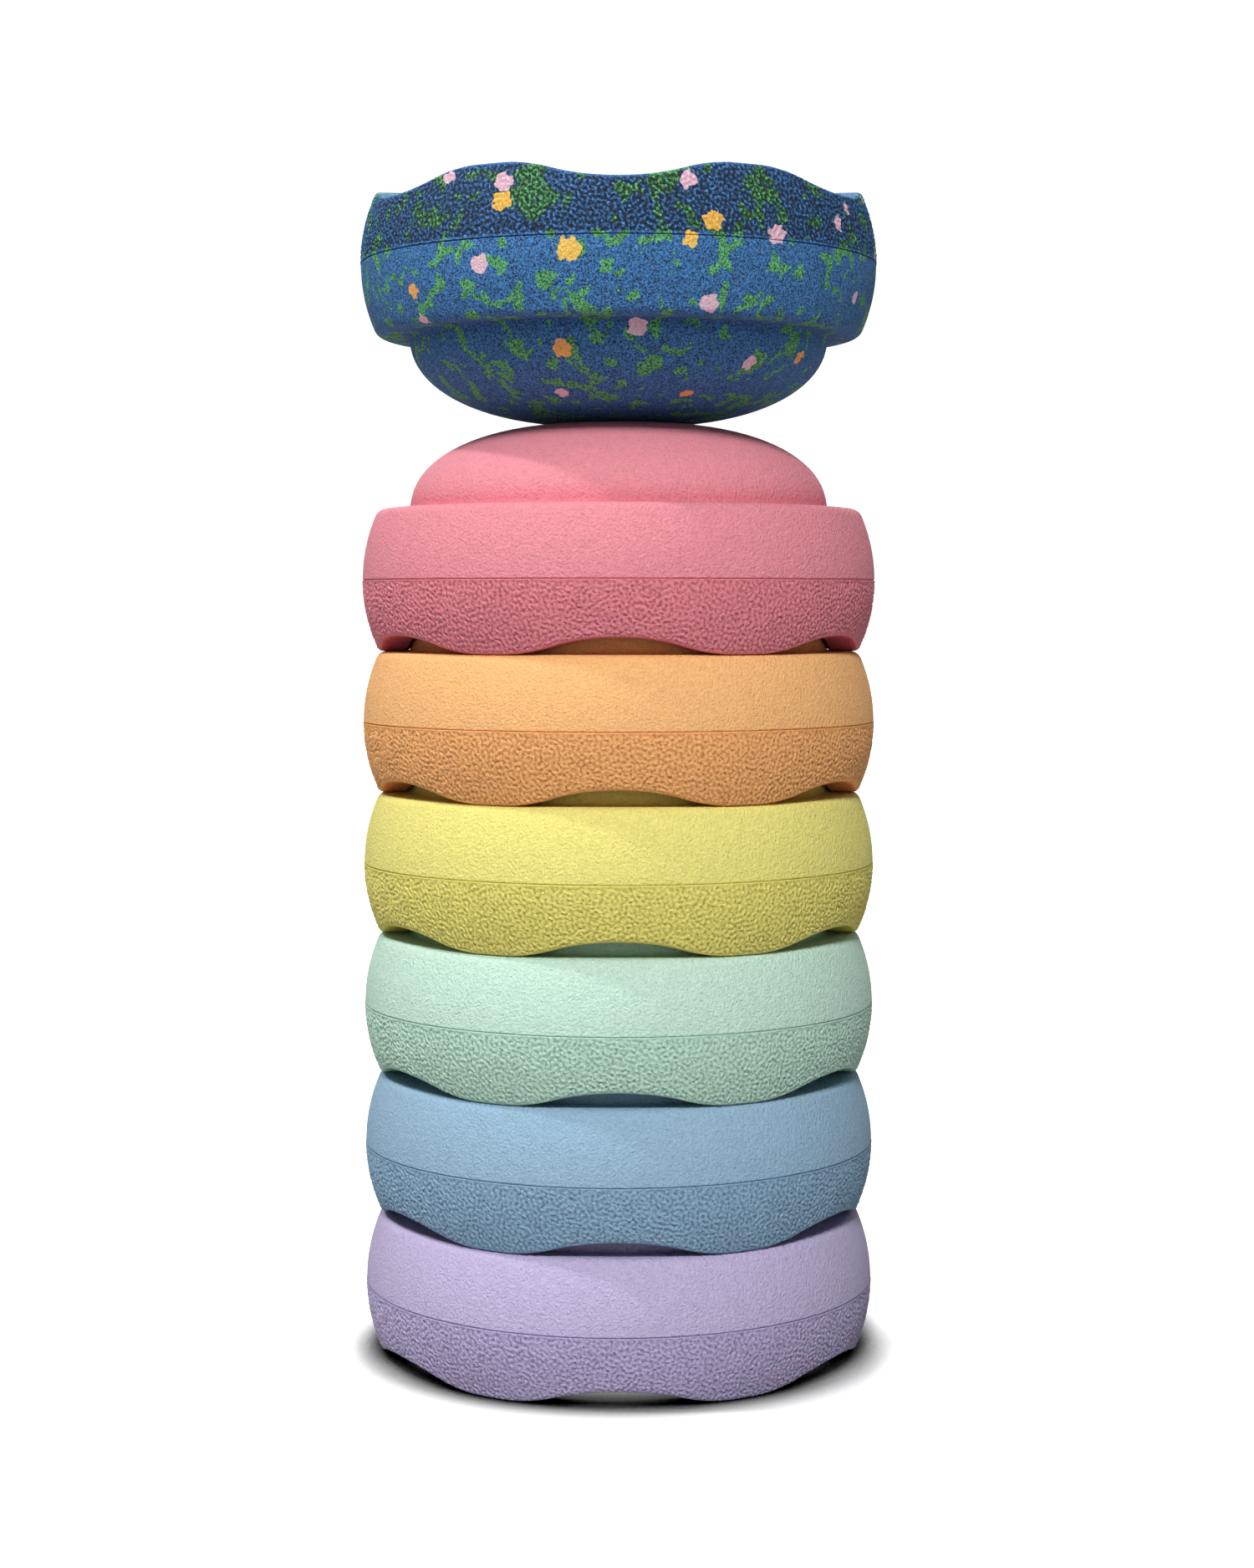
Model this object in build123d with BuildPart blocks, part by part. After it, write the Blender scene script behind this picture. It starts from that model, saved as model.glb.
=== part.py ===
"""Tower of seven stacking stones in moulded bead foam.

Every stone is the same one-piece moulding: a barrel-shaped band that stands on six rounded feet, a
flat shoulder, a smaller dome on top, and a stepped hollow underneath that takes the dome of the stone
below. Six stones nest the right way up, and the seventh is turned over and balances crown to crown on
the sixth, with its hollow facing up like a bowl.

Millimetres. +Z is up, the origin is the middle of the floor face, and +Y is the back of the tower.
"""

import os
from math import cos, hypot, isclose, pi, radians, sin, sqrt, tan

from build123d import *

# Overall sizes of one stone
STONE_DIAMETER = 275.0  # widest, at the parting line
BAND_HEIGHT = 75.4  # feet to shoulder, which is also the rise from one nested stone to the next
DOME_HEIGHT = 45.6  # shoulder to crown

# Outer skin
BARREL_RADIUS = 86.5  # bulge of the band, seen in section
PARTING_STEP = 0.4  # how far the lower half of the band stands proud at the parting line
SHOULDER_WIDTH = 17.0  # level ledge round the dome, before its edges are rounded
SHOULDER_ROUND = 6.0
DOME_CURVE = 2.15  # exponent of the dome's curve: 2 is an ellipse, and more is fuller
DOME_SPANS = 8  # stretches of the spline that follows the curve
DOME_FOOT_ROUND = 3.0
CROWN_FLAT_DIAMETER = 40.0  # level spot on which two crowns meet

# Waved lower edge
FOOT_COUNT = 6
ARCH_HEIGHT = 8.7
FOOT_LAND_ANGLE = 7.0  # level part of each foot, in degrees round the rim
CREST_SHARE = 0.52  # share of half an arch that the crest's arc takes
CUTTER_MARGIN = 15.0  # how far the arch cutter runs past the wall on both sides
RIM_ROUND = 3.5
MOUTH_ROUND = 3.0

# Stepped hollow
NEST_CLEARANCE = 1.5  # between the hollow's mouth and the foot of the dome that sits in it
CROWN_CLEARANCE = 6.0  # between that dome's crown and the ledge
WALL = 28.0  # foam at the dome's side and over the ceiling
HOLLOW_DRAFT = 1.5  # degrees, so that the moulding leaves its tool
CORNER_ROUND = 9.0
LEDGE_ROUND = 6.0
CEILING_ROUND = 26.0

# The tower, from the floor up
NESTED_STONES = ["lilac_stone", "blue_stone", "mint_stone", "yellow_stone", "orange_stone", "pink_stone"]
TURNED_STONE = "speckled_stone"

stone_radius = STONE_DIAMETER / 2
crown_radius = CROWN_FLAT_DIAMETER / 2
stone_height = BAND_HEIGHT + DOME_HEIGHT
parting_height = BAND_HEIGHT / 2


def upper_skin(height):
    """Radius of the band above its parting line, at a height above the feet."""
    offset = height - parting_height
    return stone_radius - PARTING_STEP - BARREL_RADIUS + sqrt(BARREL_RADIUS**2 - offset**2)


def lower_skin(height):
    """Radius of the band below its parting line."""
    return upper_skin(height) + PARTING_STEP


dome_radius = upper_skin(BAND_HEIGHT) - SHOULDER_WIDTH
mouth_radius = dome_radius + NEST_CLEARANCE
ledge_height = DOME_HEIGHT + CROWN_CLEARANCE
ceiling_height = stone_height - WALL
draft = tan(radians(HOLLOW_DRAFT))
ledge_outer_radius = mouth_radius - ledge_height * draft
ledge_inner_radius = dome_radius - WALL
ceiling_radius = ledge_inner_radius - (ceiling_height - ledge_height) * draft


def dome_point(turn):
    """Point on the dome's superellipse: at 0 its foot on the shoulder, at a quarter turn its crown."""
    across = abs(cos(turn)) ** (2 / DOME_CURVE)
    up = abs(sin(turn)) ** (2 / DOME_CURVE)
    return crown_radius + (dome_radius - crown_radius) * across, BAND_HEIGHT + DOME_HEIGHT * up


def arch_section(distance):
    """Outline of one arch on an upright plane, as wide in proportion as its distance from the axis."""
    reach = distance * tan(radians(180 / FOOT_COUNT - FOOT_LAND_ANGLE / 2))
    turn_x = reach * CREST_SHARE
    turn_z = ARCH_HEIGHT * (1 - CREST_SHARE)
    with BuildSketch(Plane(origin=(0, -distance, 0), x_dir=(1, 0, 0), z_dir=(0, -1, 0))) as section:
        with BuildLine():
            crest = ThreePointArc((-turn_x, turn_z), (0, ARCH_HEIGHT), (turn_x, turn_z))
            right = TangentArc((turn_x, turn_z), (reach, 0), tangent=crest % 1)
            left = TangentArc((-turn_x, turn_z), (-reach, 0), tangent=-(crest % 0))
            Polyline(right @ 1, (reach, -ARCH_HEIGHT), (-reach, -ARCH_HEIGHT), left @ 1)
        make_face()
    return section.sketch


def circles_at(part, radius, height):
    """Level circles of a part with a given radius, at a given height."""
    circles = part.edges().filter_by(GeomType.CIRCLE)
    same_radius = circles.filter_by(lambda edge: isclose(edge.radius, radius, abs_tol=0.01))
    return same_radius.filter_by(lambda edge: isclose(edge.arc_center.Z, height, abs_tol=0.01))


def rim_edges(part, nearest, farthest):
    """Edges of the waved rim whose middle lies between two distances from the axis."""
    low_edges = part.edges().filter_by(lambda edge: edge.bounding_box().max.Z < ARCH_HEIGHT + 0.01)
    return low_edges.filter_by(lambda edge: nearest < hypot((edge @ 0.5).X, (edge @ 0.5).Y) < farthest)


# Cutter for one arch of the rim, at the front
with BuildPart() as arch:
    near_section = arch_section((mouth_radius - CUTTER_MARGIN) * cos(pi / FOOT_COUNT))
    far_section = arch_section(stone_radius + CUTTER_MARGIN)
    loft([near_section, far_section], ruled=True)

# One stone, standing on its feet
with BuildPart() as stone:
    with BuildSketch(Plane.YZ):
        with BuildLine():
            dome_turns = [pi / 2 * step / DOME_SPANS for step in range(DOME_SPANS + 1)]
            upper_middle = (parting_height + BAND_HEIGHT) / 2
            lower_middle = parting_height / 2
            Line((0, stone_height), (crown_radius, stone_height))
            Spline(*[dome_point(turn) for turn in dome_turns], tangents=[(0, 1), (-1, 0)])
            Line((dome_radius, BAND_HEIGHT), (upper_skin(BAND_HEIGHT), BAND_HEIGHT))
            ThreePointArc(
                (upper_skin(BAND_HEIGHT), BAND_HEIGHT),
                (upper_skin(upper_middle), upper_middle),
                (upper_skin(parting_height), parting_height),
            )
            Line((upper_skin(parting_height), parting_height), (lower_skin(parting_height), parting_height))
            ThreePointArc(
                (lower_skin(parting_height), parting_height),
                (lower_skin(lower_middle), lower_middle),
                (lower_skin(0), 0),
            )
            Polyline(
                (lower_skin(0), 0),
                (mouth_radius, 0),
                (ledge_outer_radius, ledge_height),
                (ledge_inner_radius, ledge_height),
                (ceiling_radius, ceiling_height),
                (0, ceiling_height),
                (0, stone_height),
            )
        make_face()
    revolve(axis=Axis.Z)
    fillet(circles_at(stone, upper_skin(BAND_HEIGHT), BAND_HEIGHT), SHOULDER_ROUND)
    fillet(circles_at(stone, dome_radius, BAND_HEIGHT), DOME_FOOT_ROUND)
    fillet(circles_at(stone, ledge_outer_radius, ledge_height), CORNER_ROUND)
    fillet(circles_at(stone, ledge_inner_radius, ledge_height), LEDGE_ROUND)
    fillet(circles_at(stone, ceiling_radius, ceiling_height), CEILING_ROUND)
    with PolarLocations(0, FOOT_COUNT):
        add(arch.part, mode=Mode.SUBTRACT)
    fillet(rim_edges(stone, lower_skin(0) - RIM_ROUND, stone_radius), RIM_ROUND)
    fillet(rim_edges(stone, 0, mouth_radius + MOUTH_ROUND), MOUTH_ROUND)

os.makedirs("parts", exist_ok=True)

# The nested stones, each with its feet on the shoulder of the one below
for level, name in enumerate(NESTED_STONES):
    with BuildPart(Plane.XY.offset(level * BAND_HEIGHT)) as nested:
        add(stone.part)
    nested.part.label = name
    export_step(nested.part, f"parts/{name}.step")

# The turned stone, with its crown on the crown of the last nested one
top_of_tower = BAND_HEIGHT * len(NESTED_STONES) + DOME_HEIGHT + stone_height
with BuildPart(Plane(origin=(0, 0, top_of_tower), x_dir=(1, 0, 0), z_dir=(0, 0, -1))) as turned:
    add(stone.part)
turned.part.label = TURNED_STONE
export_step(turned.part, f"parts/{TURNED_STONE}.step")
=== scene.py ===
# %% [markdown]
# # A tower of foam stacking stones
#
# Seven children's balance stones, all of one shape, stand on each other. Six nest the right way up, and
# the seventh is turned over and balances on the pink one's dome. Each stone is one moulding in bead
# foam: fine grained above its parting line, coarse and wrinkled below it.
#
# The lesson builds that shape as a surface with two parameters, gives it its relief as real geometry,
# and then finishes it with one foam material that changes colour from stone to stone.

# %% Load the frame
import math

import bpy
import numpy as np
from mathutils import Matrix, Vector


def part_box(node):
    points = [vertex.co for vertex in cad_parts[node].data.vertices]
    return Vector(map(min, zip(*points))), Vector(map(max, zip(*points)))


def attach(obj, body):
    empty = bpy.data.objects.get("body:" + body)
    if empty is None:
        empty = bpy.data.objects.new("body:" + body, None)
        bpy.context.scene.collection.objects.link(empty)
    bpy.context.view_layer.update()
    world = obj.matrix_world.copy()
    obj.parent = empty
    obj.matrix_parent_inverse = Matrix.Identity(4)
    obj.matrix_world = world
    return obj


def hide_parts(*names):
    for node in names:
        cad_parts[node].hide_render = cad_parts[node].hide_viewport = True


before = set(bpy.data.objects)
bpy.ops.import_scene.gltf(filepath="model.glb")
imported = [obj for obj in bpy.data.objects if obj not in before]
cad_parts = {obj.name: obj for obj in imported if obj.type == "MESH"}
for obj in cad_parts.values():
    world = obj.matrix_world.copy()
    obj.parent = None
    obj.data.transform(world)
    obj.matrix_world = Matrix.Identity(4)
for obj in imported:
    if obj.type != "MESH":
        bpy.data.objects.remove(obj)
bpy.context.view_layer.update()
MM = 0.001

# %% [markdown]
# ## Sizes
#
# Everything that the frame can tell is read from it: how wide and high a stone is, how far one rises
# above the next, and where each one stands. What is left are the sizes of the moulding itself, such as
# the bulge of its band and the roundings, which are the designer's own values in millimetres.

# %% Sizes of a stone
NESTED = ["lilac_stone", "blue_stone", "mint_stone", "yellow_stone", "orange_stone", "pink_stone"]
TURNED = "speckled_stone"

low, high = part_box(NESTED[0])
radius = (high.x - low.x) / 2 / MM
height = (high.z - low.z) / MM
band = (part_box(NESTED[1])[0].z - low.z) / MM
dome = height - band
parting = band / 2

BARREL = 86.5  # radius of the band's bulge, seen in section
STEP = 0.4  # how far the coarse half stands proud at the parting line
SHOULDER = 17.0  # width of the ledge round the dome
SHOULDER_ROUND = 6.0
DOME_CURVE = 2.15  # exponent of the superellipse: 2 is an ellipse, and more is fuller
DOME_FOOT_ROUND = 3.0
CROWN = 20.0  # radius of the level spot on top

FEET = 6
ARCH = 8.7
FOOT_LAND = 7.0  # level part of each foot, in degrees round the rim
CREST_SHARE = 0.52  # share of half an arch that the crest's arc takes
RIM_SHARE = 0.9  # radius at which an arch is measured, as a share of the stone's
RIM_ROUND = 3.5
MOUTH_ROUND = 3.0

NEST_CLEARANCE = 1.5
CROWN_CLEARANCE = 6.0
WALL = 28.0
DRAFT = math.tan(math.radians(1.5))
CORNER_ROUND = 9.0
LEDGE_ROUND = 6.0
CEILING_ROUND = 26.0
print(f"stone: {2 * radius:.1f} mm wide, {height:.1f} high, band {band:.1f}, dome {dome:.1f}")

# %% [markdown]
# ## The outer skin in section
#
# Cut through its axis, a stone shows straight lines, arcs and one superellipse. A short helper rounds
# the corner between two straight stretches, and the band's bulge is one arc with its centre level with
# the parting line. Each helper returns radius and height as arrays, with the section's own parameter
# along the first axis and, where the shape changes round the stone, the angle along the second.

# %% Helpers for the section
centre_r = radius - BARREL


def spread(count, start=0.0, end=1.0):
    """Even steps from start to end, as a column, so that they combine with a row of angles."""
    return np.linspace(start, end, count)[:, None]


def line(start, end, count):
    """Straight stretch: start plus t times the way to the end, without its last point."""
    t = spread(count + 1)[:-1]
    return start[0] + t * (end[0] - start[0]), start[1] + t * (end[1] - start[1])


def arc(centre, size, start, end, count):
    """Arc: centre plus size times cosine and sine of an angle in radians, without its last point."""
    t = spread(count + 1)[:-1]
    turn = start + t * (end - start)
    return centre[0] + size * np.cos(turn), centre[1] + size * np.sin(turn)


def corner(before, at, after, size, count):
    """Arc of the given size that rounds the corner at a point, tangent to both straight sides."""
    a = np.array(before, float) - at
    b = np.array(after, float) - at
    a /= np.linalg.norm(a)
    b /= np.linalg.norm(b)
    half = math.acos(np.clip(a @ b, -1, 1)) / 2
    middle = (a + b) / np.linalg.norm(a + b)
    centre = np.array(at, float) + middle * size / math.sin(half)
    first = np.array(at, float) + a * size / math.tan(half) - centre
    last = np.array(at, float) + b * size / math.tan(half) - centre
    start = math.atan2(first[1], first[0])
    sweep = (math.atan2(last[1], last[0]) - start + math.pi) % (2 * math.pi) - math.pi
    return arc(centre, size, start, start + sweep, count)


def barrel_tangent(level, size, sign):
    """Angle on the barrel at which a rounding of the given size, tangent to a level plane, meets it."""
    rise = level - sign * size - parting
    run = np.sqrt((BARREL - size) ** 2 - rise**2)
    return np.arctan2(rise, run), centre_r + run


def join(*pieces):
    """Puts stretches of a section one after another, widened to the same number of angles."""
    columns = max(np.shape(part)[1] for piece in pieces for part in piece)
    stack = [[np.broadcast_to(part, (np.shape(part)[0], columns)) for part in piece] for piece in pieces]
    return np.concatenate([s[0] for s in stack]), np.concatenate([s[1] for s in stack])


# %% [markdown]
# ## The waved rim
#
# The lower edge is a wave round the stone: six arches with six feet between them. One arch is three
# tangent arcs, so its height is a quadratic-looking cap in the middle and a softer curve down to a
# level foot. Written as a function of the angle, it gives the height at which the section ends.


# %% Height of the rim round the stone
def rim_height(angle):
    """Arch height at each angle: a circular cap about each crest, then a circle of the other hand that
    comes down tangent to the level foot. Crests face the front and every sixth of a turn."""
    pitch = math.pi / FEET
    reach = math.tan(pitch - math.radians(FOOT_LAND / 2))
    turn_x, turn_z = reach * CREST_SHARE, ARCH * (1 - CREST_SHARE)
    local = (angle + math.pi / 2 + pitch) % (2 * pitch) - pitch
    x = np.abs(np.tan(local))
    scale = radius * RIM_SHARE
    cap = ((turn_x * scale) ** 2 + (ARCH - turn_z) ** 2) / (2 * (ARCH - turn_z))
    cup = (((reach - turn_x) * scale) ** 2 + turn_z**2) / (2 * turn_z)
    top = ARCH - cap + np.sqrt(np.maximum(cap**2 - (x * scale) ** 2, 0))
    foot = cup - np.sqrt(np.maximum(cup**2 - ((reach - x) * scale) ** 2, 0))
    return np.where(x < turn_x, top, np.where(x < reach, foot, 0.0))


check = rim_height(np.radians([-90.0, -75.0, -60.0]))
print("rim at a crest, between and at a foot, mm:", np.round(check, 2))

# %% [markdown]
# ## The section from crown to ceiling
#
# The section is walked once, from the middle of the crown, down the outside, round the rim and up the
# hollow to the middle of its ceiling. Turned round the axis it closes on itself at both ends, so the
# stone is one watertight skin. It comes in three parts, because the coarse half needs far finer columns
# than the rest.

# %% The upper part: dome, shoulder and fine-grained half of the band
dome_radius = centre_r - STEP + math.sqrt(BARREL**2 - parting**2) - SHOULDER
mouth_radius = dome_radius + NEST_CLEARANCE
ledge = dome + CROWN_CLEARANCE
ceiling = height - WALL
GROOVE_HALF = 0.4  # half the width of the parting groove, mm
GROOVE_DEPTH = 0.6
GROOVE_EASE = 0.08  # how far its lower lip lies inside the skin, mm
BARREL_ROWS = 50
LAND_LAP = 1.5  # how far inside the rim's rounding the lower part takes over, mm
POLE = 2.0  # radius of the rings that close on the two poles, mm


def dome_curve(count):
    """Superellipse: the radius goes with the cosine and the height with the sine of a turn, each to the
    power of two over the curve's exponent."""
    last = math.asin((DOME_FOOT_ROUND / dome) ** (DOME_CURVE / 2))
    turn = spread(count + 1, math.pi / 2, last)[:-1]
    across = CROWN + (dome_radius - CROWN) * np.cos(turn) ** (2 / DOME_CURVE)
    return across, band + dome * np.sin(turn) ** (2 / DOME_CURVE)


def upper_part(angle):
    """Section above the parting groove, which is the same at every angle."""
    turn, edge = barrel_tangent(band, SHOULDER_ROUND, 1)
    foot = (dome_radius, band)
    last = np.zeros((1, len(angle)))
    return join(
        line((POLE, height), (CROWN, height), 3),
        dome_curve(22),
        corner((dome_radius, height), foot, (radius, band), DOME_FOOT_ROUND, 5),
        line((dome_radius + DOME_FOOT_ROUND, band), (edge - STEP, band), 4),
        arc((edge - STEP, band - SHOULDER_ROUND), SHOULDER_ROUND, math.pi / 2, float(turn), 7),
        arc((centre_r - STEP, parting), BARREL, float(turn), 2 * GROOVE_HALF / BARREL, 14),
        (last + radius - STEP, last + parting + 2 * GROOVE_HALF),
    )


# %% The coarse part: parting groove, wrinkled half of the band and the rounding under it
def coarse_part(angle):
    """Section from the groove to the land under the rim. The rim's height sets where the barrel ends."""
    rim = rim_height(angle)[None, :]
    turn, edge = barrel_tangent(rim, RIM_ROUND, -1)
    groove_r = np.array([[-STEP], [-STEP - GROOVE_DEPTH], [-GROOVE_DEPTH], [-GROOVE_EASE]]) + radius
    groove_z = parting + GROOVE_HALF * np.array([[0.9], [0.35], [-0.35], [-0.9]])
    start = -2 * GROOVE_HALF / BARREL
    return join(
        (groove_r, groove_z),
        arc((centre_r, parting), BARREL, start, turn, BARREL_ROWS),
        arc((edge, rim + RIM_ROUND), RIM_ROUND, turn, -math.pi / 2, 7),
        (edge, rim),
    )


# %% The lower part: land, mouth and stepped hollow
def lower_part(angle):
    """Section from the land to the middle of the ceiling."""
    rim = rim_height(angle)[None, :]
    edge = barrel_tangent(rim, RIM_ROUND, -1)[1] - LAND_LAP
    inner = dome_radius - WALL
    top = (inner - (ceiling - ledge) * DRAFT, ceiling)
    outer = (mouth_radius - ledge * DRAFT, ledge)
    wall_top = (outer[0] + CORNER_ROUND * DRAFT, ledge - CORNER_ROUND)
    return join(
        line((edge, rim), (mouth_radius + MOUTH_ROUND, rim), 3),
        arc((mouth_radius + MOUTH_ROUND, rim + MOUTH_ROUND), MOUTH_ROUND, -math.pi / 2, -math.pi, 5),
        line((mouth_radius, rim + MOUTH_ROUND), wall_top, 5),
        corner((mouth_radius, 0), outer, (inner, ledge), CORNER_ROUND, 6),
        line((outer[0] - CORNER_ROUND, ledge), (inner + LEDGE_ROUND, ledge), 3),
        corner(outer, (inner, ledge), top, LEDGE_ROUND, 5),
        corner((inner, ledge), top, (0, ceiling), CEILING_ROUND, 10),
        line((top[0] - CEILING_ROUND, ceiling), (POLE, ceiling), 5),
        (np.full((1, 1), POLE), np.full((1, 1), ceiling)),
    )


# %% [markdown]
# ## Relief of the coarse half
#
# The coarse half is wrinkled like hammered leather: ridges 2 to 3 mm apart on pads of 4 to 5 mm, a
# little over a millimetre deep. That is real relief, which shows against the light and along the
# outline, so it goes into the mesh and not only into a bump map. The noise is made in the frequency
# domain, where the distance between ridges is simply the ring of frequencies that is kept.


# %% Band-limited noise, and wrinkles made of it
PADS = 4.6  # distances between ridges, mm
RIDGES = 2.9
GRIT = 1.9
BELL = 0.35  # width of the kept ring of frequencies, as a share of its radius


def ring_noise(rng, rows, columns, row_step, column_step, spacing):
    """Gaussian noise with a given distance between ridges, periodic round the stone: white noise whose
    spectrum is multiplied by a bell centred on one over that distance, in cycles per millimetre."""
    white = np.fft.rfft2(rng.standard_normal((rows, columns)))
    across = np.fft.fftfreq(rows, row_step)[:, None]
    around = np.fft.rfftfreq(columns, column_step)[None, :]
    offset = np.hypot(across, around) * spacing - 1
    wave = np.fft.irfft2(white * np.exp(-((offset / BELL) ** 2)), s=(rows, columns))
    return wave / wave.std()


def wrinkles(seed, rows, columns, row_step, column_step):
    """Pads with creases between them: the size of a coarse noise, which dips to a sharp valley wherever
    the noise changes sign, plus two finer noises. From 0 in the deepest crease to 1 on a pad."""
    rng = np.random.default_rng(seed)
    size = (rng, rows, columns, row_step, column_step)
    pads = ring_noise(*size, PADS)
    ridges = ring_noise(*size, RIDGES)
    grit = ring_noise(*size, GRIT)
    field = 0.6 * np.tanh(1.8 * np.abs(pads)) + 0.7 * np.tanh(ridges) + 0.35 * grit
    low, high = np.percentile(field, [1.5, 98.5])
    return np.clip((field - low) / (high - low), 0, 1)


# %% [markdown]
# ## From section to mesh
#
# The three parts are rings of points. Neighbouring rings with the same number of points are joined by
# quads. Where the fine columns of the coarse half meet the wide ones, each wide step is joined to the
# fine steps beside it by one face, and a ring closes on a single point at either pole. Two numbers ride
# along with every point for the material to read: how coarse the skin is there, and how much shade and
# bounce light the material paints there, which on the coarse half follows the depth of its creases.

# %% Mesh of one stone
WIDE = 180
FINE = 1260
RELIEF = 1.3  # depth from pad to crease, mm
FIELD_STEP = 0.5  # mm between the rows of the noise, and how many rows there are
FIELD_ROWS = 128
FADE = 1.8  # mm over which the relief starts below the parting line
LAND_FADE = 3.0  # mm over which it ends on the land under the rim
PAINTED_BOUNCE_ROWS = 8  # rings of the rounding under the rim over which painted bounce light deepens its colour
PAINTED_FOOT_SHADE = 0.45  # share of painted shade by which the colour deepens in the crease at the dome's foot
FOOT_REACH = 6.0  # mm over which it does


def ring_faces(first, count, wide):
    """Quads between `count` rings of `wide` points, the first of which starts at index `first`."""
    row = np.arange(count - 1)[:, None] * wide + first
    here, there = np.arange(wide)[None, :], (np.arange(wide)[None, :] + 1) % wide
    return np.stack([row + here, row + wide + here, row + wide + there, row + there], -1).reshape(-1, 4)


def step_faces(wide_start, fine_start, flip):
    """Faces between a ring of wide steps and a ring of fine ones, one for each wide step."""
    ratio = FINE // WIDE
    here = np.arange(WIDE)
    near = wide_start + np.stack([(here + 1) % WIDE, here], -1)
    far = fine_start + (here[:, None] * ratio + np.arange(ratio + 1)[None, :]) % FINE
    faces = np.concatenate([near, far], -1)
    return faces[:, ::-1] if flip else faces


def pole_faces(pole, ring, flip):
    """Triangles from a pole to the ring round it."""
    here = np.arange(WIDE)
    faces = np.stack([np.full(WIDE, pole), ring + here, ring + (here + 1) % WIDE], -1)
    return faces[:, ::-1] if flip else faces


def to_mesh(name, points, face_groups):
    """A mesh from an array of points and groups of faces, where each group has one corner count."""
    mesh = bpy.data.meshes.new(name)
    totals = np.concatenate([np.full(len(g), g.shape[1]) for g in face_groups])
    corners = np.concatenate([g.ravel() for g in face_groups])
    starts = np.concatenate([[0], np.cumsum(totals)[:-1]])
    mesh.vertices.add(len(points))
    mesh.vertices.foreach_set("co", np.asarray(points, np.float32).ravel())
    mesh.loops.add(len(corners))
    mesh.loops.foreach_set("vertex_index", corners.astype(np.int32))
    mesh.polygons.add(len(totals))
    mesh.polygons.foreach_set("loop_start", starts.astype(np.int32))
    mesh.polygons.foreach_set("use_smooth", np.ones(len(totals), bool))
    mesh.update(calc_edges=True)
    mesh.validate()
    return mesh


def wrinkled(r, z, seed):
    """Presses the wrinkles into the coarse part, along its normals and always inwards, so that the
    stone never grows. Returns the moved section, how coarse each point is, and how much shade is painted
    there, which follows the depth of its crease."""
    length = np.cumsum(np.hypot(np.diff(r, axis=0), np.diff(z, axis=0)), 0)
    along = np.concatenate([np.zeros((1, FINE)), length])
    field = wrinkles(seed, FIELD_ROWS, FINE, FIELD_STEP, 2 * math.pi * radius / FINE)
    index = np.clip(along / FIELD_STEP, 0, FIELD_ROWS - 2)
    below = index.astype(int)
    column = np.arange(FINE)[None, :]
    share = index - below
    height_share = field[below, column] * (1 - share) + field[below + 1, column] * share
    begin = np.clip((along - 3 * GROOVE_HALF) / FADE, 0, 1)
    end = np.clip((along[-1:] - along) / LAND_FADE, 0, 1)
    grain = begin * end
    dr, dz = np.gradient(r, axis=0), np.gradient(z, axis=0)
    size = np.hypot(dr, dz)
    push = (height_share - 1) * RELIEF * grain
    painted_shade_and_bounce = (1 - height_share) * grain
    # painted shade: the rows of the parting groove are darkened in full
    painted_shade_and_bounce[1:3] = 1.0
    return r - dz / size * push, z + dr / size * push, grain, painted_shade_and_bounce


def stone_points(seed, painted_rim_bounce):
    """Points of a standing stone in mm, ring by ring, with how coarse each one is and how much shade is
    painted there. Under the rim, the last argument paints bounce light, a deep and saturated colour, up to
    the end of the land."""
    wide = np.arange(WIDE) * 2 * math.pi / WIDE
    fine = np.arange(FINE) * 2 * math.pi / FINE
    parts = []
    for make, angle in ((upper_part, wide), (coarse_part, fine), (lower_part, wide)):
        r, z = make(angle)
        r, z = (np.broadcast_to(v, (len(r), len(angle))).copy() for v in (r, z))
        grain, painted_shade_and_bounce = np.zeros_like(r), np.zeros_like(r)
        if make is coarse_part:
            r, z, grain, painted_shade_and_bounce = wrinkled(r, z, seed)
            # painted bounce light: the rounding under the rim grows deeper in colour towards the land
            painted_shade_and_bounce[-PAINTED_BOUNCE_ROWS:] = np.maximum(painted_shade_and_bounce[-PAINTED_BOUNCE_ROWS:], spread(PAINTED_BOUNCE_ROWS) ** 2 * painted_rim_bounce)
        elif make is lower_part:
            # painted bounce light on the land, fading towards the mouth
            painted_shade_and_bounce[:PAINTED_BOUNCE_ROWS] = spread(PAINTED_BOUNCE_ROWS, 1.0, 0.0) * painted_rim_bounce
        else:
            # painted shade: the colour darkens and deepens in the crease at the dome's foot
            painted_shade_and_bounce[:] = PAINTED_FOOT_SHADE * np.exp(-((r - dome_radius) ** 2 + (z - band) ** 2) / FOOT_REACH**2)
        parts.append(np.stack([r * np.cos(angle), r * np.sin(angle), z, grain, painted_shade_and_bounce], -1))
    return parts


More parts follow.
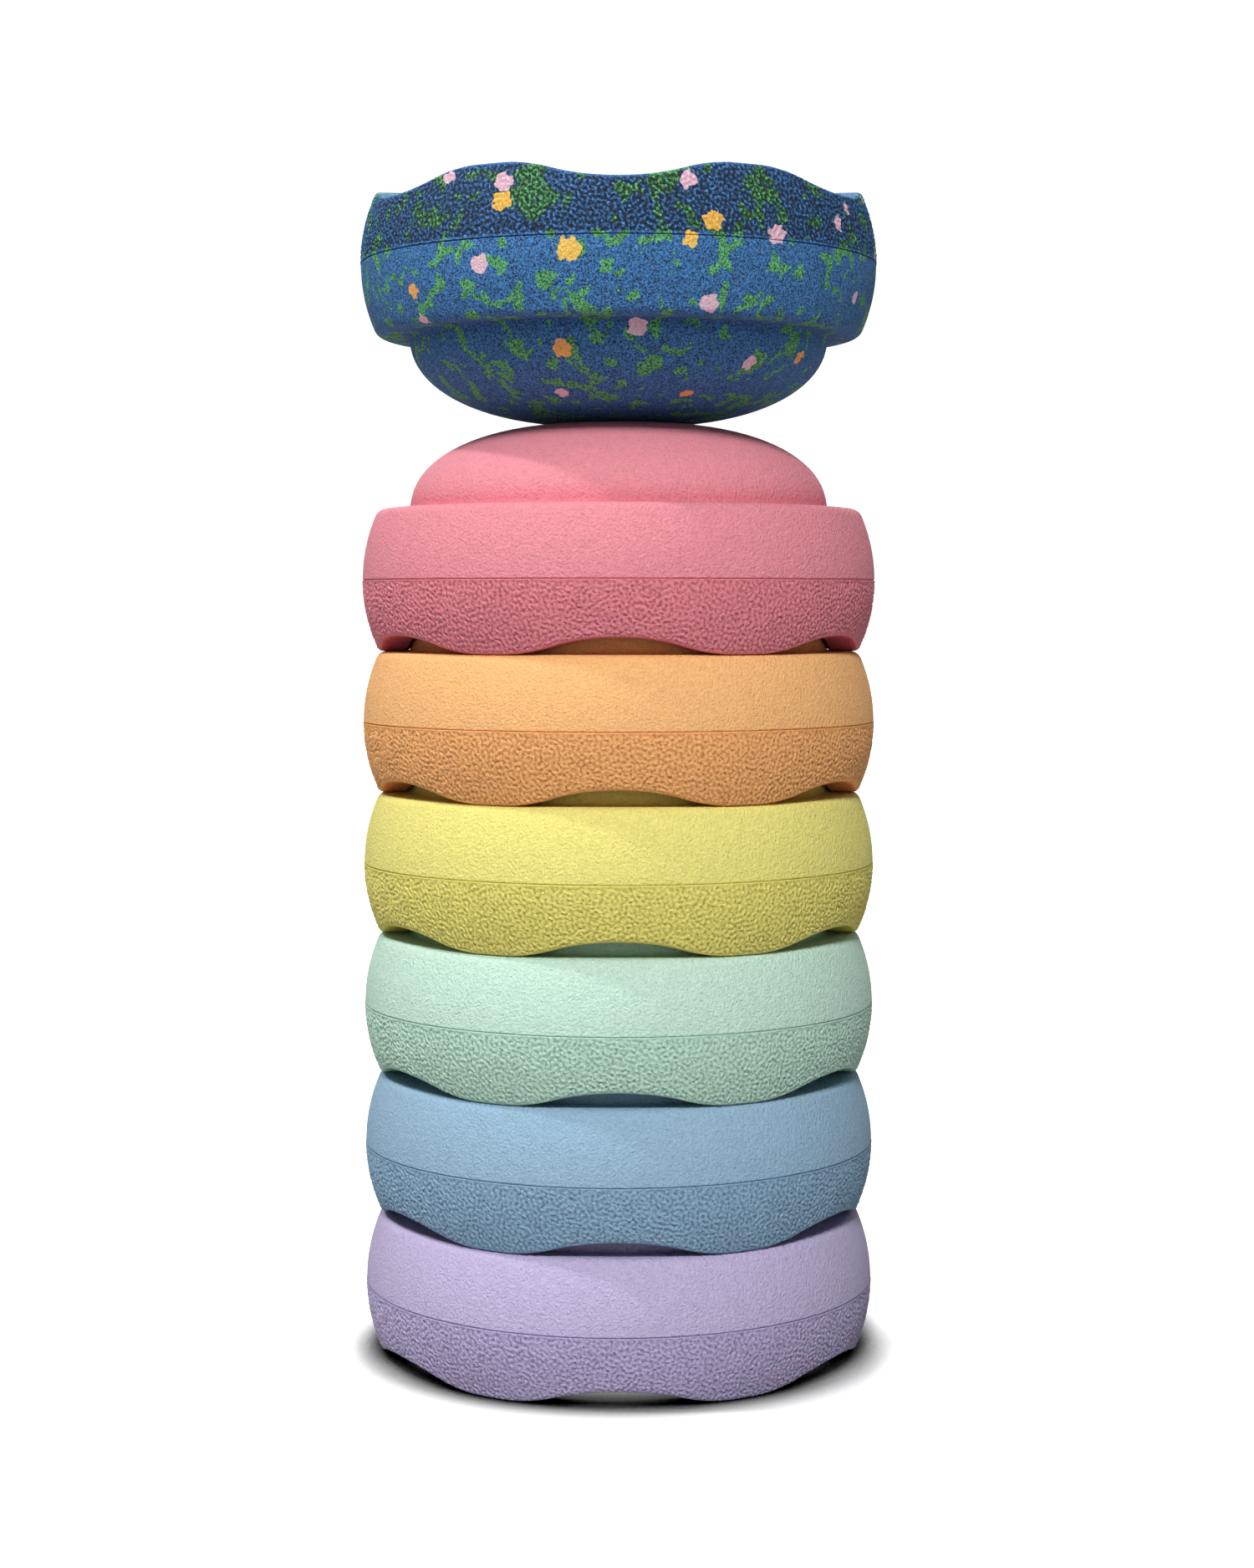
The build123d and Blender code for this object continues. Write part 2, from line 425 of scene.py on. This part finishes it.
def stone_mesh(name, seed, place, painted_rim_bounce):
    """Mesh of a stone: its rings, poles and steps, moved to where it stands by `place`."""
    parts = stone_points(seed, painted_rim_bounce)
    rings = [len(part) for part in parts]
    sizes = [part.shape[0] * part.shape[1] for part in parts]
    starts = 1 + np.concatenate([[0], np.cumsum(sizes)])
    crown, roof = np.zeros((1, 5)), np.zeros((1, 5))
    crown[0, 2], roof[0, 2] = height, ceiling
    table = np.concatenate([crown, *[part.reshape(-1, 5) for part in parts], roof])
    faces = [
        pole_faces(0, 1, False),
        ring_faces(starts[0], rings[0], WIDE),
        step_faces(starts[1] - WIDE, starts[1], False),
        ring_faces(starts[1], rings[1], FINE),
        step_faces(starts[2], starts[2] - FINE, True),
        ring_faces(starts[2], rings[2], WIDE),
        pole_faces(len(table) - 1, starts[3] - WIDE, True),
    ]
    mesh = to_mesh(name, place(table[:, :3]) * MM, faces)
    for column, key in ((3, "grain"), (4, "painted_shade_and_bounce")):
        values = mesh.attributes.new(key, "FLOAT", "POINT").data
        values.foreach_set("value", table[:, column].astype(np.float32))
    return mesh


def standing(level):
    """Places a stone on its feet at a height in mm."""
    return lambda points: points + np.array([0.0, 0.0, level])


def turned_over(top):
    """Turns a stone half a turn about the X axis, so that its feet end at a height in mm."""
    return lambda points: points * np.array([1.0, -1.0, -1.0]) + np.array([0.0, 0.0, top])


# %% [markdown]
# ## Foam
#
# The stones are moulded from beads of expanded polypropylene, welded by steam. The skin is matt and
# felt-like: short fibrous grain about a millimetre and a half wide over soft dimples of three or four,
# with the colour a little uneven from bead to bead. So the material is a rough dielectric with the index
# of polypropylene and two bumps. Light and shade are also painted into its colour: the creases of the
# coarse half, the parting groove and the crease at the dome's foot get painted shade, the ridges painted
# light, and under the rim the colour is painted deep and saturated, in place of light that is tinted
# again at each bounce in there.

# %% Helpers for materials
def to_linear(code):
    """Linear RGBA from an sRGB hex code: each channel over 12.92 near black, else the 2.4 power curve."""
    channels = [int(code[i : i + 2], 16) / 255 for i in (0, 2, 4)]
    return [c / 12.92 if c <= 0.04045 else ((c + 0.055) / 1.055) ** 2.4 for c in channels] + [1.0]


def add_node(tree, kind, settings=None, *values, **named):
    """Adds a node and applies its settings. Values go to its live inputs in order, and named ones to the
    input of that name, with _ for a space. A node is linked by its first live output, a socket as it is."""
    node = tree.nodes.new("ShaderNode" + kind)
    for key, value in (settings or {}).items():
        setattr(node, key, value)
    live = [socket for socket in node.inputs if socket.enabled]
    pairs = list(zip(live, values))
    pairs += [(node.inputs[key.replace("_", " ")], value) for key, value in named.items()]
    for socket, value in pairs:
        if isinstance(value, bpy.types.Node):
            value = next(output for output in value.outputs if output.enabled)
        if isinstance(value, bpy.types.NodeSocket):
            tree.links.new(value, socket)
        else:
            socket.default_value = value
    return node


def hills(spacing):
    """Scale of a noise whose hills are `spacing` millimetres apart: a hill and a dip take two cells."""
    return 2 / (spacing * MM)


def new_material(name):
    """An empty node material, and its tree."""
    material = bpy.data.materials.new(name)
    material.use_nodes = True
    material.node_tree.nodes.clear()
    return material, material.node_tree


TIMES = {"operation": "MULTIPLY"}
PLUS = {"operation": "ADD"}
MINUS = {"operation": "SUBTRACT"}
TIMES_PLUS = {"operation": "MULTIPLY_ADD"}
LESSER = {"operation": "MINIMUM"}
GREATER = {"operation": "MAXIMUM"}
TINT = {"data_type": "RGBA", "blend_type": "MULTIPLY"}
OVER = {"data_type": "RGBA", "blend_type": "MIX"}
BLEND = {"data_type": "FLOAT"}

# %% Foam in one colour
CHIP_SHADE = 0.95  # a chip is pale all through, so the grain hardly shows in its colour
FELT = 1.7  # width of the felt-like grain, mm
PORE = 1.5  # width of the grit on the coarse half's ridges, mm
DIMPLE = 3.2  # width of the dimples between beads, mm
FELT_DEPTH = 0.75  # heights of the two bumps, mm
DIMPLE_DEPTH = 0.9
BEAD = 8.0  # drift of the colour, mm: two to three beads
FELT_SPAN = (0.38, 0.62)  # stretches of the two noises that their shades follow
BEAD_SPAN = (0.35, 0.65)
BEAD_TONES = (0.97, 1.03)
# The grain's contrast, the painted light on ridges and painted shade in creases, and the depths at which
# those begin.
PLAIN = {"grain": 0.1, "ridge": 1.01, "crease": 0.49, "shallow": 0.4, "deep": 1.0}


def foam(name, code, look=PLAIN, inlay=None):
    """Moulded expanded polypropylene. `look` says how strongly the grain shows in the colour and how much
    light and shade is painted on the relief, and `inlay` adds other colours to the base one and says where
    its pale chips are."""
    material, tree = new_material(name)
    here = add_node(tree, "TexCoord").outputs["Object"]
    coarse = add_node(tree, "Attribute", {"attribute_name": "grain"}).outputs["Fac"]
    painted_shade_and_bounce = add_node(tree, "Attribute", {"attribute_name": "painted_shade_and_bounce"}).outputs["Fac"]
    felt = add_node(tree, "TexNoise", None, Vector=here, Scale=hills(FELT), Detail=3.0, Distortion=0.5)
    pores = add_node(tree, "TexNoise", None, Vector=here, Scale=hills(PORE), Detail=2.0)
    dimples = add_node(tree, "TexNoise", None, Vector=here, Scale=hills(DIMPLE), Detail=2.0)
    beads = add_node(tree, "TexNoise", None, Vector=here, Scale=hills(BEAD), Detail=2.0)

    colour, chips = inlay(tree, here, to_linear(code)) if inlay else (to_linear(code), None)
    grain = look["grain"]
    felt_shade = add_node(tree, "MapRange", None, felt, *FELT_SPAN, 1 - grain, 1 + 0.8 * grain)
    bead_shade = add_node(tree, "MapRange", None, beads, *BEAD_SPAN, *BEAD_TONES)
    # painted light and shade: ridges are lightened and creases darkened, by the depth of the crease
    tones = look["ridge"], look["crease"]
    relief = add_node(tree, "MapRange", None, painted_shade_and_bounce, look["shallow"], look["deep"], *tones)
    painted_relief_shade = add_node(tree, "Mix", BLEND, coarse, 1.0, relief)
    shade = add_node(tree, "Math", TIMES, felt_shade, bead_shade)
    shade = add_node(tree, "Math", TIMES, shade, painted_relief_shade)
    if chips:
        shade = add_node(tree, "Mix", BLEND, chips, shade, CHIP_SHADE)
    shaded = add_node(tree, "Mix", TINT, 1.0, colour, shade)
    # painted shade and bounce light: where it is painted, the colour is multiplied by itself, darker and
    # more saturated
    fine = add_node(tree, "Math", TIMES_PLUS, coarse, -0.5, 1.0)
    painted_tint_share = add_node(tree, "Math", TIMES, painted_shade_and_bounce, fine)
    deep = add_node(tree, "Mix", TINT, painted_tint_share, shaded, colour)

    soft = add_node(tree, "Math", MINUS, 1.0, coarse)
    dimpled = add_node(tree, "Bump", None, Strength=soft, Distance=DIMPLE_DEPTH * MM, Height=dimples)
    skin = add_node(tree, "Mix", BLEND, coarse, felt, pores)
    depths = {"Strength": 1.0, "Distance": FELT_DEPTH * MM}
    felted = add_node(tree, "Bump", None, Height=skin, Normal=dimpled, **depths)
    shader = add_node(tree, "BsdfPrincipled", None, Base_Color=deep, Roughness=0.8, IOR=1.49, Normal=felted)
    add_node(tree, "OutputMaterial", None, Surface=shader)
    return material


# %% [markdown]
# ## The speckled foam
#
# The dark blue stone is moulded with beads of other colours thrown in: green ones that have run into
# branching veins and islands, and single large chips of pale pink, yellow and orange. They go through
# the whole thickness, so the pattern is solid noise, sampled where the surface cuts it. A vein is where
# one noise is close to its middle value and a slower one allows it. The chips are few and large enough
# to be placed one by one, and the grain bends their outlines.

# %% Where the chips lie
# Turn from the front in degrees, height above the rim and half-width in millimetres, on the outer skin.
# They were placed to the nearest five degrees and five millimetres.
PINK = [
    (-40, 5, 4), (-25, 10, 5), (-30, 50, 5), (-50, 75, 4), (-20, 110, 4), (15, 10, 5), (35, 35, 5),
    (55, 25, 4), (60, 15, 3), (20, 70, 5), (65, 60, 3), (5, 80, 5), (40, 95, 4),
]
YELLOW = [(-25, 20, 5), (-10, 45, 6), (20, 30, 5), (15, 40, 4)]
ORANGE = [(-50, 60, 4), (-15, 90, 5), (60, 90, 4), (25, 110, 3)]


def skin_point(turn, level):
    """Place in metres on the outer skin of the turned stone: the section's radius at that height above
    the rim, swung round from the front, and measured down from the upturned feet."""
    if level <= band:
        r = centre_r + math.sqrt(BARREL**2 - (level - parting) ** 2)
    else:
        share = ((level - band) / dome) ** DOME_CURVE
        r = CROWN + (dome_radius - CROWN) * (1 - share) ** (1 / DOME_CURVE)
    a = math.radians(turn)
    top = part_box(TURNED)[1].z
    return r * math.sin(a) * MM, -r * math.cos(a) * MM, top - level * MM


def bowl_point(turn, r, level):
    """The same for a place in the hollow, at its own radius."""
    a = math.radians(turn)
    return r * math.sin(a) * MM, -r * math.cos(a) * MM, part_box(TURNED)[1].z - level * MM


def scattered(count):
    """Chips for the skin that the list leaves out. Steps of two irrational shares fill it evenly."""
    step = np.arange(count)
    turns = 76 + 208 * (step * 0.7549 % 1)
    levels = 6 + 100 * (step * 0.5698 % 1)
    halves = 2.6 + 1.8 * (step * 0.3819 % 1)
    return [(*skin_point(t, v), h) for t, v, h in zip(turns, levels, halves)]


def in_the_bowl():
    """Chips on the ceiling, ledge and walls of the hollow."""
    inner = dome_radius - WALL
    roof = ((20, 30), (150, 48), (-95, 52), (-30, 66), (80, 62))
    step = ((-60, 9), (35, 16), (118, 8), (-140, 15))
    well = ((-20, 20), (70, 14), (165, 24), (-110, 17))
    mouth = ((0, 22), (60, 34), (130, 16), (-75, 28))
    spots = [(turn, r, ceiling) for turn, r in roof]
    spots += [(turn, inner + r, ledge) for turn, r in step]
    spots += [(turn, inner, ledge + level) for turn, level in well]
    spots += [(turn, mouth_radius, level) for turn, level in mouth]
    return [(*bowl_point(*spot), 3.0 + 1.4 * (number * 0.618 % 1)) for number, spot in enumerate(spots)]


# %% Veins and chips
BEND = 6.5  # mm between the bends of an outline, and how far they reach
BEND_REACH = 4.2
RAGGED = 2.2  # width of the beads that an outline follows, mm
VEIN = 50.0  # mm between veins, islands, and stretches where veins are let through
ISLAND = 17.0
GATE = 62.0
VEIN_PLACE = (0.62, 0.34, 0.45)
ISLAND_PLACE = (0.13, 0.71, 0.09)
VEIN_HALF = 0.036  # half-width of a vein, in the noise's own units, as are the next five
GATE_LEVEL = 0.565  # veins are let through above it
ISLAND_LEVEL = 0.655  # an island lies above it
ISLAND_SLOPE = 0.4  # makes an island's edge as soft as a vein's
RAGGED_SHARE = 0.018  # how far beads roughen the green's edge
EDGE = 0.0015  # softness of that edge
CHIP_RAGGED = 0.9  # how far beads roughen a chip's edge, mm
CHIP_EDGE = 0.15  # softness of that edge, mm
CHIP_PALE = 0.75  # share of the grain's shade and of the painted relief shade that is left out on a chip
GREEN = "559F67"


def nearest(tree, where, chips):
    """Distance in metres to the outline of the nearest chip: the least of all distances less sizes."""
    least = 1.0
    for x, y, z, half in chips:
        away = add_node(tree, "VectorMath", {"operation": "DISTANCE"}, where, (x, y, z))
        edge = add_node(tree, "Math", MINUS, away, half * MM)
        least = add_node(tree, "Math", LESSER, edge, least)
    return least


def green_veins(tree, bent, ragged):
    """How far inside the green a place is, over zero within it: the greater of two nets of veins, each
    let through in stretches, and of the islands, all with a ragged outline."""
    first = add_node(tree, "Mapping", None, Vector=bent, Location=VEIN_PLACE)
    second = add_node(tree, "Mapping", None, Vector=bent, Location=ISLAND_PLACE)
    stretches = add_node(tree, "TexNoise", None, Vector=first, Scale=hills(GATE), Detail=1.0)
    gate = add_node(tree, "Math", MINUS, stretches, GATE_LEVEL)
    green = -1.0
    for where in (first, second):
        net = add_node(tree, "TexNoise", None, Vector=where, Scale=hills(VEIN), Detail=0.0)
        middle = add_node(tree, "Math", MINUS, net, 0.5)
        side = add_node(tree, "Math", {"operation": "ABSOLUTE"}, middle)
        vein = add_node(tree, "Math", MINUS, VEIN_HALF, side)
        vein = add_node(tree, "Math", LESSER, vein, gate)
        green = add_node(tree, "Math", GREATER, vein, green)
    spots = add_node(tree, "TexNoise", None, Vector=second, Scale=hills(ISLAND), Detail=0.0)
    islands = add_node(tree, "Math", MINUS, spots, ISLAND_LEVEL)
    islands = add_node(tree, "Math", TIMES, islands, ISLAND_SLOPE)
    green = add_node(tree, "Math", GREATER, green, islands)
    return add_node(tree, "Math", TIMES_PLUS, ragged, RAGGED_SHARE, green)


def speckles(tree, here, base):
    """Colour of the speckled foam: base, then veins and islands of green, then the chips. Also says
    where the chips are."""
    bends = add_node(tree, "TexNoise", None, Vector=here, Scale=hills(BEND), Detail=0.0).outputs["Color"]
    aside = add_node(tree, "VectorMath", MINUS, bends, (0.5, 0.5, 0.5))
    bent = add_node(tree, "VectorMath", TIMES_PLUS, aside, (BEND_REACH * MM,) * 3, here)
    beads = add_node(tree, "TexNoise", None, Vector=here, Scale=hills(RAGGED), Detail=2.0)
    ragged = add_node(tree, "Math", MINUS, beads, 0.5)
    green = green_veins(tree, bent, ragged)
    mask = add_node(tree, "MapRange", None, green, -EDGE, EDGE, 0.0, 1.0)
    colour = add_node(tree, "Mix", OVER, mask, base, to_linear(GREEN))

    everywhere = scattered(28)
    inside = in_the_bowl()
    kinds = [
        (PINK, everywhere[0::2] + inside[0::2], "F0C8D8"),
        (YELLOW, everywhere[1::4] + inside[1::4], "FBCB62"),
        (ORANGE, everywhere[3::4] + inside[3::4], "FDB266"),
    ]
    rough = add_node(tree, "Math", TIMES, ragged, CHIP_RAGGED * MM)
    pale = 0.0
    for front, rest, code in kinds:
        chips = [(*skin_point(turn, level), half) for turn, level, half in front] + rest
        edge = add_node(tree, "Math", PLUS, nearest(tree, bent, chips), rough)
        mask = add_node(tree, "MapRange", None, edge, -CHIP_EDGE * MM, CHIP_EDGE * MM, 1.0, 0.0)
        colour = add_node(tree, "Mix", OVER, mask, colour, to_linear(code))
        pale = add_node(tree, "Math", GREATER, mask, pale)
    return colour, add_node(tree, "Math", TIMES, pale, CHIP_PALE)


# %% Make the stones
COLOURS = {
    "lilac_stone": "B8ABCE",
    "blue_stone": "8EAEC6",
    "mint_stone": "BEDDCC",
    "yellow_stone": "E6DC7C",
    "orange_stone": "F2B676",
    "pink_stone": "E48B98",
    "speckled_stone": "3870A8",
}
# Pale fibre shows on dark blue: strong grain. The bright ridge tops are a painted highlight, and the dark
# ground between them is painted shade.
FROSTED_WITH_PAINTED_GLINTS = {"grain": 0.85, "ridge": 1.5, "crease": 0.15, "shallow": 0.05, "deep": 0.6}

for number, node in enumerate(NESTED + [TURNED]):
    bottom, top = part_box(node)
    turned = node == TURNED
    place = turned_over(top.z / MM) if turned else standing(bottom.z / MM)
    painted_rim_bounce = 0.0 if turned else 1.0
    mesh = stone_mesh(node.replace("_stone", "_foam_stone"), 11 + number, place, painted_rim_bounce)
    stone = bpy.data.objects.new(mesh.name, mesh)
    bpy.context.scene.collection.objects.link(stone)
    finish = (FROSTED_WITH_PAINTED_GLINTS, speckles) if turned else (PLAIN, None)
    mesh.materials.append(foam(node.replace("_stone", "_moulded_epp"), COLOURS[node], *finish))
    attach(stone, node)
    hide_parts(node)
    triangles = sum(len(p.vertices) - 2 for p in mesh.polygons)
    print(stone.name, len(mesh.vertices), "points", triangles, "triangles")

# %% [markdown]
# ## Floor, light and camera
#
# The tower stands on white studio paper that is lit until it burns out. Only the contact under the
# bottom stone stays dark, and that is a painted shadow: ambient occlusion darkens the paper's colour and
# its glow there. To the eye the paper is bright; to the stones it is a dim floor, because a bright one
# would light them from below and flatten the relief. The light is a large lamp in front and above, a
# faint wide one level with the floor, a narrow one from the left, and a soft one behind for the far side.

# %% Floor
scene = bpy.context.scene
REACH = 30.0  # half the width of the sheet, m
CONTACT = 0.04  # m round a point within which the painted contact shadow darkens the sheet
CONTACT_SPAN = (0.45, 0.85)  # openness at which it is black, and at which it is white
GLOW = 0.4  # light of its own that burns it out
DIM = 0.32  # how much of the light it gives back to the stones
corners = [(-REACH, -REACH, 0), (REACH, -REACH, 0), (REACH, REACH, 0), (-REACH, REACH, 0)]
sheet = bpy.data.meshes.new("studio_floor")
sheet.from_pydata(corners, [], [(0, 1, 2, 3)])
floor = bpy.data.objects.new("studio_floor", sheet)
scene.collection.objects.link(floor)

paper, tree = new_material("burnt_out_studio_paper")
# painted contact shadow: ambient occlusion darkens the sheet's colour and glow near the stones
open_air = add_node(tree, "AmbientOcclusion", {"samples": 8}, Distance=CONTACT).outputs["AO"]
clear = add_node(tree, "MapRange", None, open_air, *CONTACT_SPAN, 0.0, 1.0)
strength = add_node(tree, "Math", TIMES, clear, GLOW)
glow = add_node(tree, "Emission", None, Strength=strength)
seen = add_node(tree, "BsdfDiffuse", None, Color=clear)
bright = add_node(tree, "AddShader", None, seen, glow)
dim = add_node(tree, "BsdfDiffuse", None, Color=(DIM, DIM, DIM, 1))
rays = add_node(tree, "LightPath").outputs["Is Camera Ray"]
both = add_node(tree, "MixShader", None, rays, dim, bright)
add_node(tree, "OutputMaterial", None, Surface=both)
sheet.materials.append(paper)

# %% World and lights
FRONT_ROOM = 0.15  # brightness of the room in front and behind, and of the background in the picture
BACK_ROOM = 0.35
BACKGROUND = 1.1
scene.view_settings.view_transform = "Standard"
world = bpy.data.worlds.new("soft_room")
world.use_nodes = True
scene.world = world
tree = world.node_tree
tree.nodes.clear()
direction = add_node(tree, "TexCoord").outputs["Object"]
behind = add_node(tree, "SeparateXYZ", None, direction).outputs["Y"]
room = add_node(tree, "MapRange", None, behind, 0.4, 1.0, FRONT_ROOM, BACK_ROOM)
rays = add_node(tree, "LightPath").outputs["Is Camera Ray"]
strength = add_node(tree, "Mix", BLEND, rays, room, BACKGROUND)
sky = add_node(tree, "Background", None, Color=(1, 1, 1, 1), Strength=strength)
add_node(tree, "OutputWorld", None, Surface=sky)


def sun(name, azimuth, elevation, power, softness):
    """A distant lamp from an azimuth round the object (0 is the front, 90 its right) and an elevation."""
    data = bpy.data.lights.new(name, "SUN")
    data.energy = power
    data.angle = math.radians(softness)
    lamp = bpy.data.objects.new(name, data)
    a, e = math.radians(azimuth), math.radians(elevation)
    away = Vector((math.sin(a) * math.cos(e), -math.cos(a) * math.cos(e), math.sin(e)))
    lamp.rotation_mode = "QUATERNION"
    lamp.rotation_quaternion = away.to_track_quat("Z", "Y")
    scene.collection.objects.link(lamp)


sun("front_softbox", -4, 43, 2.9, 12)
sun("low_card", 0, 2, 0.5, 30)
sun("left_lamp", -88, 58, 1.55, 3)
sun("back_softbox", 180, 35, 1.4, 20)

# %% Camera
camera_data = bpy.data.cameras.new("camera")
camera_data.lens = 63.14
camera_data.sensor_width = 36.0
camera = bpy.data.objects.new("camera", camera_data)
camera.location = (0.0045, -1.4829, 0.4023)
camera.rotation_euler = (math.radians(90 - 3.7514), 0, 0)
scene.collection.objects.link(camera)
scene.camera = camera

# %% Finish
bpy.context.view_layer.update()
